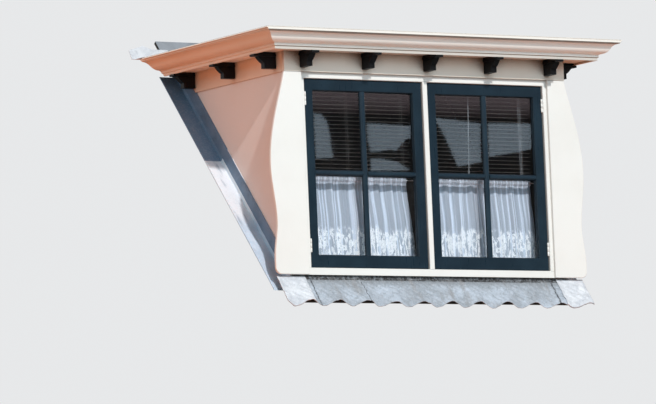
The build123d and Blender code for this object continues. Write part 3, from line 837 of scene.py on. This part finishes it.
# each curtain has its folds (count over the width, size), and how far its edges leave the solid's, at hem and top
hangings = {
    "left": {"seed": 11, "flip": True, "folds": ((9, 1.0), (14, 0.8), (23, 0.5), (5, 0.5)),
             "inset": (-0.021, 0.036, 0.0, 0.0)},
    "right": {"seed": 12, "flip": False, "folds": ((8, 0.9), (13, 0.9), (24, 0.35), (5, 0.7)),
              "inset": (0.0, 0.004, 0.022, -0.012)},
}
for side, hanging in hangings.items():
    cloth = curtainCloth("curtain_lace_" + side, **hanging)
    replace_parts(cloth, "curtain_" + side)
print("curtains ready")


# lead dressed over the tiles: a surface over (across, down the slope) with folds and mallet marks
apronLow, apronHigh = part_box("lead_apron")
lead = {
    "thick": 0.003,
    "crest": 0.082,  # height of the tiles' crests over the battens
    "back": 0.020,  # Y of the upright leaf's back
    "length": 0.2350,
    "scallop": 0.040,
    "drop": 0.010,
    "wave": 0.011,
    "camber": 0.001,
    "cheek": 1.0185,
    "sill": 0.161,
    "wrinkle": 0.0025,
    "dents": (0.044, 0.019),  # reach of the large and of the small dents
    "ragged": 0.0025,  # how far the lower edge wanders, and over what reach
    "raggedReach": 0.09,
    "rows": 34,
    "cell": 0.0055,
    "seam": (-0.530, -0.500),  # X where one length laps the next, at the bend and at the lower edge
    "lap": 0.0026,
    "lapStep": 0.006,  # width of the step, then place and width of the roll behind it
    "roll": (0.012, 0.010),
    "into": 0.002,  # how far the upright leaf enters the sheet
    "patchLift": 0.0055,
}


def tileWave(x):
    # 0 in the tiles' hollows and 1 on their crests: a slow rise and a quick fall, each half a cosine
    place = np.mod(x - roof["tileHollow"], roof["tileWidth"])
    rise = roof["tileRise"]
    rising = (1 - np.cos(math.pi * place / rise)) / 2
    falling = (1 + np.cos(math.pi * (place - rise) / (roof["tileWidth"] - rise))) / 2
    return np.where(place < rise, rising, falling)


def smoothNoise(rng, x, y, waves, scale):
    # a sum of sines in random directions, which reads as soft dents
    total = np.zeros_like(x)
    for index in range(waves):
        angle, phase = rng.uniform(0, 2 * math.pi, 2)
        reach = scale * rng.uniform(0.6, 2.2)
        total += np.sin((x * math.cos(angle) + y * math.sin(angle)) / reach * 2 * math.pi + phase)
    return total / math.sqrt(waves)


def leadSheet(left, right, lift, seed, lapped=False):
    rng = np.random.default_rng(seed)
    rows, columns = lead["rows"], int((right - left) / lead["cell"])
    bend = lead["back"] * math.tan(roof["pitch"]) + lead["crest"] / math.cos(roof["pitch"])
    start = lead["back"] * math.cos(roof["pitch"]) + bend * math.sin(roof["pitch"])
    x, t = np.meshgrid(np.linspace(left, right, columns), np.linspace(0, 1, rows))
    wave = tileWave(x)
    length = lead["length"] - lead["scallop"] * wave
    length = length + lead["ragged"] * smoothNoise(rng, x, x * 0, 5, lead["raggedReach"])
    along = start - length * t
    fall = (start - along) / lead["length"]
    height = lead["crest"] + lift - lead["drop"] * fall
    height = height - (lead["camber"] + (lead["wave"] - lead["camber"]) * fall) * (1 - wave)
    large, small = (smoothNoise(rng, x, along, 9, reach) for reach in lead["dents"])
    dents = large + 0.6 * small
    height = height + lead["wrinkle"] * dents * np.clip(t * 3, 0, 1) * np.clip(1.2 - 0.5 * t, 0, 1)
    if lapped:  # one length lies over the next, with a soft roll at its edge
        seam = lead["seam"][0] + (lead["seam"][1] - lead["seam"][0]) * t
        beyond = np.clip((seam - x) / lead["lapStep"] + 0.5, 0, 1)
        behind, wide = lead["roll"]
        height = height + lead["lap"] * beyond * (1 + 0.8 * np.exp(-((x - seam + behind) / wide) ** 2))
    top = x[..., None] * [1, 0, 0] + along[..., None] * slopeUp + (height + lead["thick"])[..., None] * slopeOut
    under = top - lead["thick"] * slopeOut
    points = np.concatenate([top.reshape(-1, 3), under.reshape(-1, 3)])
    count = rows * columns
    topFaces = gridFaces(rows, columns)
    underFaces = [[count + corner for corner in face[::-1]] for face in topFaces]
    grid = np.arange(count).reshape(rows, columns)
    edge = np.concatenate([grid[0], grid[1:, -1], grid[-1, -2::-1], grid[-2:0:-1, 0]])
    following = np.roll(edge, -1)
    rim = np.stack([edge, following, following + count, edge + count], axis=1).tolist()
    return points, topFaces + underFaces + rim, bend


def leadLeaf(bend):
    # the upright leaf between the bend and the sill, only as wide as the front wall
    tall = lead["sill"] - bend + lead["into"]
    section = [(0, 0), (-lead["thick"], 0), (-lead["thick"], tall), (0, tall)]
    path = [(x, lead["back"], bend - lead["into"]) for x in (-lead["cheek"], lead["cheek"])]
    return carryProfile(section, path, [0, 1, 0], [0, 0, 1])


points, faces, bend = leadSheet(apronLow.x, apronHigh.x, 0.0, 21, lapped=True)
apron = putPiece("apron_dressed", joinShapes([(points, faces), leadLeaf(bend)]), "lead", smooth=True)
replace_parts(apron, "lead_apron")
for side in ("left", "right"):
    low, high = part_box("apron_corner_" + side)
    points, faces, bend = leadSheet(low.x, high.x, lead["patchLift"], 21)
    patch = putPiece("apron_patch_" + side, (points, faces), "new_lead", smooth=True)
    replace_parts(patch, "apron_corner_" + side)
print("lead ready")


# a cover strip along the top of each side flashing, close against its upstand, in a dark zinc that also paints the
# shade line under the cheek
strip = {
    "inner": 1.0217,  # half width from the middle to the strip's back
    "thick": 0.0034,
    "low": 0.060,  # heights over the battens
    "high": 0.1338,
    "start": 0.192,  # places along the slope
    "end": 1.885,
    "steps": 90,
    "ripple": 0.0011,  # how far it leaves the straight line, and over what reach
    "rippleReach": 0.11,
    "lowEdge": 0.001,
    "topEdge": (0.0012, 0.0015),
}


def coverStrip(settings, seed):
    rng = np.random.default_rng(seed)
    along = np.linspace(settings["start"], settings["end"], settings["steps"])
    ripple = settings["ripple"] * smoothNoise(rng, along, along * 0, 6, settings["rippleReach"])
    path = along[:, None] * slopeUp - np.abs(ripple)[:, None] * slopeOut
    inner, low, high, (across, down) = (settings[key] for key in ("inner", "low", "high", "topEdge"))
    outer = inner + settings["thick"]
    section = [(inner, low), (outer, low + settings["lowEdge"]), (outer, high - down), (outer - across, high),
               (inner, high)]
    return carryProfile(section, path, [1, 0, 0], slopeOut)


for side, mirrored, seed in (("right", False, 31), ("left", True, 32)):
    putPiece("cover_strip_" + side, coverStrip(strip, seed), "zinc_flashing", darkZinc, mirrored=mirrored)
print("cover strips ready")


# the pale bevelled edge along the top of each cornice return, which catches the sun
edgeTrim = {
    "low": corniceHigh.z - 0.0058,
    "profile": ((0.0, 0.0), (0.0105, 0.0), (0.0105, 0.0010), (0.0010, 0.0100), (0.0, 0.0100)),
    "front": corniceLow.y + 0.0004,
    "back": 1.215,
    "steps": 24,
}
edgePlaces = np.linspace(edgeTrim["front"], edgeTrim["back"], edgeTrim["steps"])
edgePath = [(corniceHigh.x, y, edgeTrim["low"]) for y in edgePlaces]
edgeShape = carryProfile(edgeTrim["profile"], edgePath, (1, 0, 0), (0, 0, 1))
for side, mirrored in bothSides:
    putPiece("edge_trim_" + side, edgeShape, "cornice_paint", mirrored=mirrored)
print("edge trims ready")


# camera, lamps, world and floor
cameraSettings = {
    "place": (-19.158, -29.362, -2.933),  # metres, in front of the dormer, to its left and a little below
    "azimuth": 32.098,  # degrees from straight on, towards the right
    "elevation": 5.832,  # degrees upwards
    "roll": -2.414,  # the photograph leans a little
    "lens": 313.76,  # millimetres, as is the sensor's width
    "sensor": 36.0,
    "farthest": 200.0,
}


def makeCamera(settings):
    camera = bpy.data.objects.new("viewCamera", bpy.data.cameras.new("viewCamera"))
    camera.data.lens = settings["lens"]
    camera.data.sensor_width = settings["sensor"]
    camera.data.sensor_fit = "HORIZONTAL"
    camera.data.clip_end = settings["farthest"]
    scene.collection.objects.link(camera)
    azimuth, elevation, roll = (math.radians(settings[k]) for k in ("azimuth", "elevation", "roll"))
    look = Euler((math.pi / 2 + elevation, 0.0, -azimuth), "XYZ").to_matrix()
    turn = Matrix.Rotation(roll, 3, "Z")
    camera.matrix_world = Matrix.Translation(settings["place"]) @ (look @ turn).to_4x4()
    scene.camera = camera


sunlight = {
    "tilt": (55.2, 0.0, -9.0),  # degrees: 35 up, and a little to the left of straight on
    "strength": 2.40,
    "softness": 2.0,
    "tone": (1.0, 0.972, 0.95),
}
sky = {"tone": (0.80, 0.80, 0.78), "strength": 0.10, "backdrop": (0.80, 0.81, 0.82)}
areaLamps = {
    "softFill": {"place": (-1.0, -10.0, 4.2), "aim": (0.0, 0.0, 0.9), "size": (9.0, 7.0), "power": 570.0,
                 "tone": (0.67, 0.87, 1.0)},
    "sideSky": {"place": (-10.5, 1.0, 5.6), "aim": (-1.0, 0.6, 0.8), "size": (7.0, 5.0), "power": 212.0,
                "tone": (0.66, 0.92, 1.0)},
}


def makeSun(settings):
    sun = bpy.data.objects.new("sunLamp", bpy.data.lights.new("sunLamp", "SUN"))
    sun.data.energy = settings["strength"]
    sun.data.angle = math.radians(settings["softness"])
    sun.data.color = settings["tone"]
    sun.rotation_euler = [math.radians(a) for a in settings["tilt"]]
    scene.collection.objects.link(sun)


def makeAreaLamp(name, place, aim, size, power, tone):
    lamp = bpy.data.objects.new(name, bpy.data.lights.new(name, "AREA"))
    lamp.data.shape = "RECTANGLE"
    lamp.data.size, lamp.data.size_y = size
    lamp.data.energy = power
    lamp.data.color = tone
    lamp.location = place
    lamp.rotation_euler = (Vector(aim) - lamp.location).to_track_quat("-Z", "Y").to_euler()
    lamp.visible_camera = False
    lamp.visible_glossy = False
    scene.collection.objects.link(lamp)


def makeWorld(settings):
    # a soft sky for the light, and a plain pale backdrop where the camera, metal or glass sees it
    world = bpy.data.worlds.new("paleSky")
    scene.world = world
    world.use_nodes = True
    atHand["tree"] = world.node_tree
    soft = setInputs(world.node_tree.nodes["Background"], {0: (*settings["tone"], 1), 1: settings["strength"]})
    ray = addNode("LightPath")
    seen = mathNode("MAXIMUM", ray.outputs["Is Camera Ray"], ray.outputs["Is Glossy Ray"])
    seen = mathNode("MAXIMUM", seen, ray.outputs["Is Transmission Ray"])
    pale = addNode("Background", {0: (*settings["backdrop"], 1), 1: 1.0})
    mix = addNode("MixShader", {0: seen, 1: soft.outputs[0], 2: pale.outputs[0]})
    setInputs(world.node_tree.nodes["World Output"], {0: mix.outputs[0]})


def stagePiece(name, points, faces, finish, rays):
    # a piece of the studio, seen only by the kinds of ray that are named
    piece = newPiece(name, points, faces, finish)
    for kind in ("camera", "diffuse", "glossy", "transmission", "shadow", "volume_scatter"):
        setattr(piece, "visible_" + kind, kind in rays)


def plainFinish(name, colour, glow=0.0):
    finish, shader = newFinish(name)
    setInputs(shader, {"Base Color": (*colour, 1), "Roughness": 0.9})
    if glow:
        setInputs(shader, {"Base Color": (0, 0, 0, 1), "Specular IOR Level": 0.0, "Emission Color": (*colour, 1),
                           "Emission Strength": glow})
    return finish


def rectangle(half, low, high):
    return [(-half, low), (half, low), (half, high), (-half, high)]


floorSettings = {"level": -4.5, "reach": 60.0, "lines": 5, "tone": (0.40, 0.385, 0.36)}
bounce = {
    "tone": (0.82, 0.22, 0.07),  # the warm card beside the dormer, as sunlit tiles would be
    "height": 0.020,
    "outer": (8.0, -1.9, 6.5),  # half width, lowest and highest place along the slope
    "inner": (1.17, -0.05, 2.45),
}
mirrorCards = {
    "reach": 0.30,  # how far the cards stand, as a share of the camera's distance
    "behind": (0.01, 0.005),  # how much farther the dark card and the eaves stand
    "wide": (2.2, -0.6, 2.2),  # the dark card's half width, lowest and highest place
    "eavesHalf": 0.90,
    "dark": (0.050, 0.052, 0.055),
    "sky": (0.80, 1.0, 1.18),
    "skyGlow": 1.35,
    "eaves": (0.62, 0.51, 0.55),  # the dim band along the top of both windows, brightest at its top
    # each band's lowest and highest place, and its glow
    "bands": ((1.250, 1.340, 1.0), (1.225, 1.250, 0.8), (1.200, 1.225, 0.6), (1.176, 1.200, 0.4), (1.156, 1.176, 0.2)),
}


def makeFloor(settings):
    # a plain pale floor: a shallow grid, far larger than the dormer
    lines = settings["lines"]
    across = np.linspace(-settings["reach"], settings["reach"], lines)
    x, y = np.meshgrid(across, across)
    points = np.stack([x, y, np.full_like(x, settings["level"])], axis=2).reshape(-1, 3)
    finish = plainFinish("floorTone", settings["tone"])
    stagePiece("paleFloor", points, gridFaces(lines, lines), finish,
               ("camera", "diffuse", "glossy", "transmission", "shadow"))


def makeBounce(settings):
    # a warm card on the roof's slope, open where the dormer stands: two rectangles joined as a ring
    corners = []
    for sides in (settings["outer"], settings["inner"]):
        for x, along in rectangle(*sides):
            corners.append([x, 0, 0] + along * slopeUp + settings["height"] * slopeOut)
    stagePiece("warmCard", corners, gridFaces(2, 4, wrapColumns=True), plainFinish("warmCardTone", settings["tone"]),
               ("diffuse",))


# what the panes mirror: a dark card with openings of sky, drawn as (X, Z) on the glass and carried out
# along the lines from the mirrored camera
skyShapes = {
    "skyLeftNarrow": [(-0.794, 1.156), (-0.744, 1.151), (-0.703, 1.109), (-0.688, 1.039), (-0.676, 0.931),
                      (-0.667, 0.885), (-0.793, 0.877)],
    "skyLeftWide": [(-0.414, 1.104), (-0.093, 1.094), (-0.097, 1.019), (-0.134, 1.012), (-0.211, 0.936),
                    (-0.262, 0.947), (-0.299, 0.934), (-0.394, 0.925), (-0.412, 0.993)],
    "skyLeftLow": [(-0.396, 0.888), (-0.294, 0.884), (-0.200, 0.868), (-0.115, 0.820), (-0.400, 0.808)],
    "skyRightNarrow": [(0.094, 1.151), (0.422, 1.123), (0.416, 0.881), (0.240, 0.850), (0.161, 1.019),
                       (0.099, 1.120)],
    "skyRightWide": [(0.478, 1.127), (0.801, 1.132), (0.799, 0.972), (0.474, 0.914)],
}


def carryOut(flat, reach):
    # point + (point - mirrored camera) * reach
    onGlass = np.array([(x, glassFace, z) for x, z in flat])
    eye = np.array(cameraSettings["place"])
    eye[1] = 2 * glassFace - eye[1]
    return onGlass + (onGlass - eye) * reach


def makeMirrorCards(settings):
    dark = plainFinish("darkCardTone", settings["dark"], 1.0)
    bright = plainFinish("skyCardTone", settings["sky"], settings["skyGlow"])
    farthest, farther = (settings["reach"] + behind for behind in settings["behind"])
    rays = ("glossy", "transmission")
    stagePiece("darkCard", carryOut(rectangle(*settings["wide"]), farthest), [[0, 1, 2, 3]], dark, rays)
    for index, (low, high, glow) in enumerate(settings["bands"]):
        flat = rectangle(settings["eavesHalf"], low, high)
        tone = plainFinish(f"eavesTone{index}", settings["eaves"], glow)
        stagePiece(f"eavesBand{index}", carryOut(flat, farther), [[0, 1, 2, 3]], tone, rays)
    for name, flat in skyShapes.items():
        stagePiece(name, carryOut(flat, settings["reach"]), [list(range(len(flat)))], bright, rays)


makeCamera(cameraSettings)
makeSun(sunlight)
for name, settings in areaLamps.items():
    makeAreaLamp(name, **settings)
makeWorld(sky)
makeFloor(floorSettings)
makeBounce(bounce)
makeMirrorCards(mirrorCards)
scene.view_settings.view_transform = "Standard"
print("stage ready")
